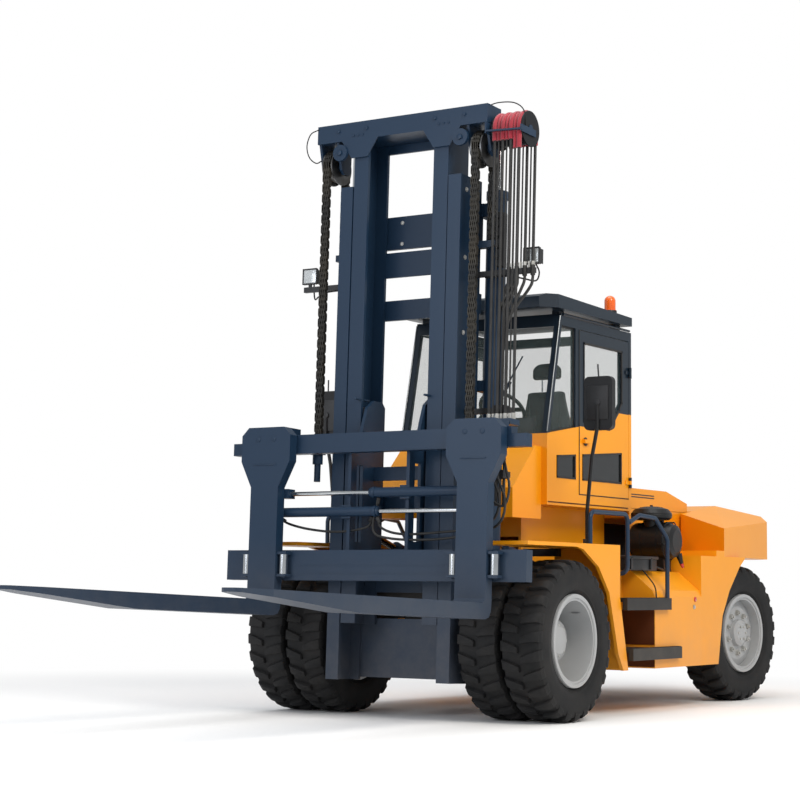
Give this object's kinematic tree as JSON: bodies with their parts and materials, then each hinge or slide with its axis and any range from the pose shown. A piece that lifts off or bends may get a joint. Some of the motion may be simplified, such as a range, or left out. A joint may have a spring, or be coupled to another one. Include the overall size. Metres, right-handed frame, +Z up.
{
  "type": "heavy counterbalance forklift truck",
  "caption": "Heavy counterbalance forklift with a lifting and tilting two-stage mast, sliding forks, dual front wheels, steered rear wheels, cab and counterweight.",
  "frame": {"origin": "on the ground under the middle of the truck's overall box", "axes": "+X to the truck's left, +Y to its rear, +Z up; the forks point to -Y"},
  "size_m": [2.64, 8.0404, 4.4101],
  "materials": {
    "orange_paint": "gloss",
    "blue_paint": "satin",
    "black_paint": "satin",
    "cast_paint": "gloss",
    "rim_paint": "satin",
    "tyre_rubber": "matt",
    "bright_rod": "polished",
    "chain_steel": "oiled",
    "roller_steel": "machined",
    "hose_rubber": "matt",
    "cab_glass": "tinted",
    "black_plastic": "grained",
    "seat_fabric": "woven",
    "amber_lens": "clear"
  },
  "bodies": {
    "chassis": {"main_frame": "black_paint", "drive_axle": "black_paint", "steer_axle": "black_paint", "engine_block": "black_paint", "cab_plinth": "orange_paint", "fenders": "orange_paint", "side_tanks": "orange_paint", "steps": "black_paint", "counterweight": "cast_paint", "engine_bay": "orange_paint", "cab_shell": "orange_paint", "cab_frame": "blue_paint", "cab_roof": "blue_paint", "cab_glass": "cab_glass", "seat_base": "black_plastic", "seat": "seat_fabric", "steering": "black_plastic", "air_cleaner": "black_plastic", "handrails": "blue_paint", "mirrors": "black_plastic", "beacon": "amber_lens"},
    "mast_outer": {"mast_outer_frame": "blue_paint", "lift_barrels": "blue_paint", "work_lamps": "black_plastic", "hose_bundle": "hose_rubber"},
    "mast_inner": {"mast_inner_frame": "blue_paint", "lift_rods": "bright_rod", "chain_sheaves": "roller_steel", "hose_reel": "black_paint", "chain_left": "chain_steel", "chain_right": "chain_steel", "hoses_lift": "hose_rubber"},
    "carriage": {"carriage_frame": "blue_paint", "carriage_rollers": "roller_steel", "positioner_barrels": "blue_paint"},
    "hood": {"hood": "orange_paint"},
    "wheel_front_left": {"tyres_front_left": "tyre_rubber", "rims_front_left": "rim_paint"},
    "knuckle_left": {"knuckle_left": "black_paint"},
    "wheel_rear_left": {"tyre_rear_left": "tyre_rubber", "rim_rear_left": "rim_paint"},
    "door_left": {"door_left": "orange_paint", "door_glass_left": "cab_glass"},
    "tilt_barrel_left": {"tilt_barrel_left": "blue_paint"},
    "tilt_rod_left": {"tilt_rod_left": "bright_rod"},
    "fork_left": {"fork_left": "blue_paint", "fork_fittings_left": "bright_rod"},
    "wheel_front_right": {"tyres_front_right": "tyre_rubber", "rims_front_right": "rim_paint"},
    "knuckle_right": {"knuckle_right": "black_paint"},
    "wheel_rear_right": {"tyre_rear_right": "tyre_rubber", "rim_rear_right": "rim_paint"},
    "door_right": {"door_right": "orange_paint", "door_glass_right": "cab_glass"},
    "tilt_barrel_right": {"tilt_barrel_right": "blue_paint"},
    "tilt_rod_right": {"tilt_rod_right": "bright_rod"},
    "fork_right": {"fork_right": "blue_paint", "fork_fittings_right": "bright_rod"}
  },
  "joints": [
    {"name": "mast_tilt", "type": "hinge", "parent": "chassis", "child": "mast_outer", "pos_m": [0, -0.47977, 0.5725], "axis": [-1, 0, 0], "range_deg": [-8, 6]},
    {"name": "lift", "type": "slide", "parent": "mast_outer", "child": "mast_inner", "axis": [0, 0.0349, 0.9994], "range_m": [-0.34, 1.14], "deforming": ["chain_left", "chain_right", "hoses_lift"]},
    {"name": "carriage_lift", "type": "slide", "parent": "mast_inner", "child": "carriage", "axis": [0, 0.0349, 0.9994], "range_m": [-0.34, 1.14], "deforming": ["chain_left", "chain_right", "hoses_lift"]},
    {"name": "fork_left_shift", "type": "slide", "parent": "carriage", "child": "fork_left", "axis": [1, 0, 0], "range_m": [-0.63, 0.1]},
    {"name": "fork_right_shift", "type": "slide", "parent": "carriage", "child": "fork_right", "axis": [1, 0, 0], "range_m": [-0.1, 0.63]},
    {"name": "hood_open", "type": "hinge", "parent": "chassis", "child": "hood", "pos_m": [0, 2.79723, 1.612], "axis": [-1, 0, 0], "range_deg": [0, 50]},
    {"name": "wheel_front_left_spin", "type": "hinge", "parent": "chassis", "child": "wheel_front_left", "pos_m": [0.9125, -0.47977, 0.5725], "axis": [1, 0, 0], "continuous": true},
    {"name": "steer_left", "type": "hinge", "parent": "chassis", "child": "knuckle_left", "pos_m": [0.69, 2.97023, 0.5725], "axis": [0, 0, 1], "range_deg": [-53.3, 66.7]},
    {"name": "wheel_rear_left_spin", "type": "hinge", "parent": "knuckle_left", "child": "wheel_rear_left", "pos_m": [0.69, 2.97023, 0.5725], "axis": [0.9932, -0.1167, 0], "continuous": true},
    {"name": "door_left_swing", "type": "hinge", "parent": "chassis", "child": "door_left", "pos_m": [0.664, 1.57623, 2.2], "axis": [0, 0, 1], "range_deg": [0, 85]},
    {"name": "tilt_barrel_left_turn", "type": "hinge", "parent": "chassis", "child": "tilt_barrel_left", "pos_m": [0.47, 0.62023, 0.98], "axis": [-1, 0, 0], "range_deg": [-4, 4]},
    {"name": "tilt_rod_left_slide", "type": "slide", "parent": "tilt_barrel_left", "child": "tilt_rod_left", "axis": [0, -0.9561, 0.293], "range_m": [-0.09, 0.115]},
    {"name": "wheel_front_right_spin", "type": "hinge", "parent": "chassis", "child": "wheel_front_right", "pos_m": [-0.9125, -0.47977, 0.5725], "axis": [1, 0, 0], "continuous": true},
    {"name": "steer_right", "type": "hinge", "parent": "chassis", "child": "knuckle_right", "pos_m": [-0.69, 2.97023, 0.5725], "axis": [0, 0, 1], "range_deg": [-53.3, 66.7]},
    {"name": "wheel_rear_right_spin", "type": "hinge", "parent": "knuckle_right", "child": "wheel_rear_right", "pos_m": [-0.69, 2.97023, 0.5725], "axis": [0.9932, -0.1167, 0], "continuous": true},
    {"name": "door_right_swing", "type": "hinge", "parent": "chassis", "child": "door_right", "pos_m": [-0.664, 1.57623, 2.2], "axis": [0, 0, -1], "range_deg": [0, 85]},
    {"name": "tilt_barrel_right_turn", "type": "hinge", "parent": "chassis", "child": "tilt_barrel_right", "pos_m": [-0.47, 0.62023, 0.98], "axis": [-1, 0, 0], "range_deg": [-4, 4]},
    {"name": "tilt_rod_right_slide", "type": "slide", "parent": "tilt_barrel_right", "child": "tilt_rod_right", "axis": [0, -0.9561, 0.293], "range_m": [-0.09, 0.115]}
  ],
  "couplings": [
    {"joint": "carriage_lift", "follows": "lift", "ratio": 1},
    {"joint": "tilt_barrel_left_turn", "follows": "mast_tilt", "ratio": 0.27554},
    {"joint": "tilt_rod_left_slide", "follows": "mast_tilt", "m_per_rad": -0.70741},
    {"joint": "tilt_barrel_right_turn", "follows": "mast_tilt", "ratio": 0.27554},
    {"joint": "tilt_rod_right_slide", "follows": "mast_tilt", "m_per_rad": -0.70741},
    {"joint": "steer_right", "follows": "steer_left", "ratio": 1}
  ]
}
